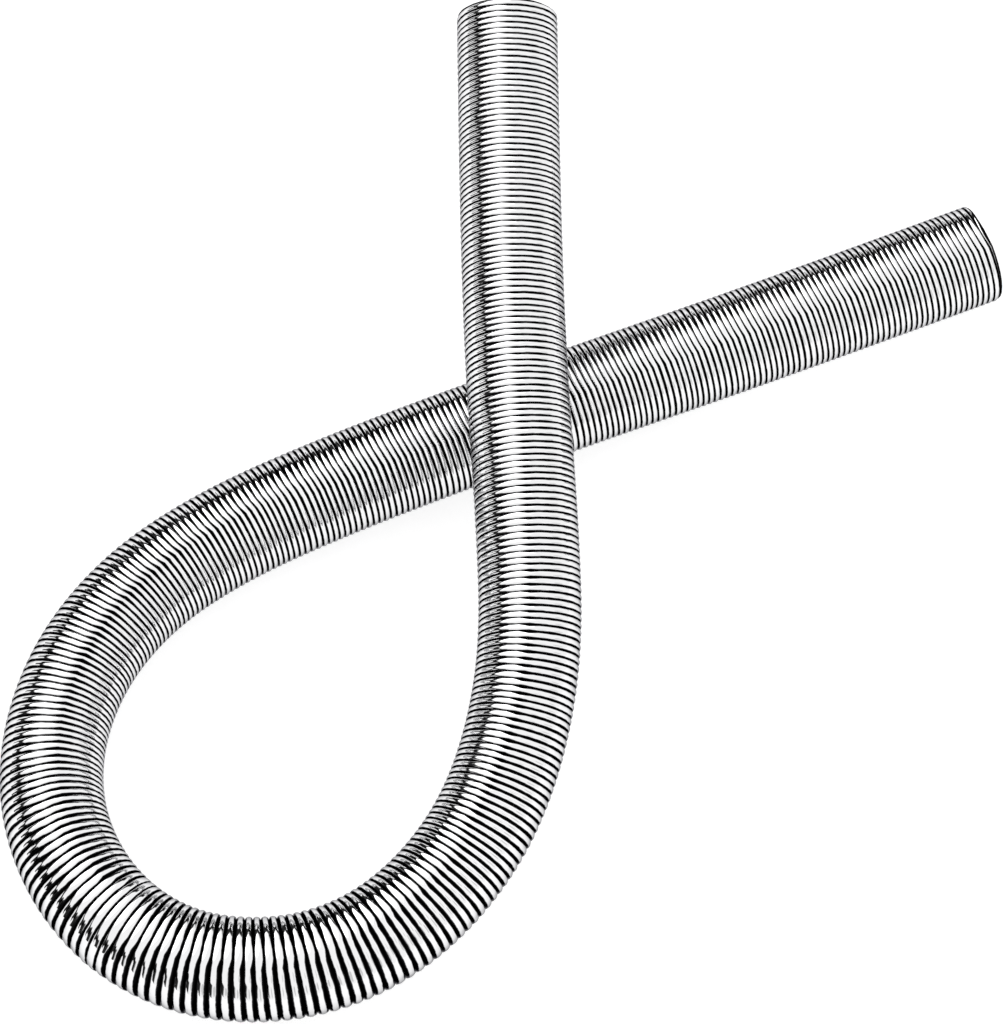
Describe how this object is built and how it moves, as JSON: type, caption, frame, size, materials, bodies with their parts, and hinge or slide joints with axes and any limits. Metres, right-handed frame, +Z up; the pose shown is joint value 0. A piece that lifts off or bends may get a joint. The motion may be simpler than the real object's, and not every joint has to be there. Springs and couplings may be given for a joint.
{
  "type": "flexible air duct",
  "caption": "Flexible ribbed metal air duct with a bore right through and plain open ends, laid in a loop that crosses over itself.",
  "frame": {"origin": "middle of the bounding box at its bottom, on the plane that the duct lies on", "axes": "+Z up; +Y along the raised straight branch towards its free mouth; +X to the side on which the other branch ends"},
  "size_m": [0.8429, 0.8651, 0.2256],
  "materials": {
    "wall": "polished"
  },
  "bodies": {
    "root": {"upper_mouth": "wall", "upper_half": "wall", "lower_half": "wall", "lower_mouth": "wall"}
  },
  "joints": []
}
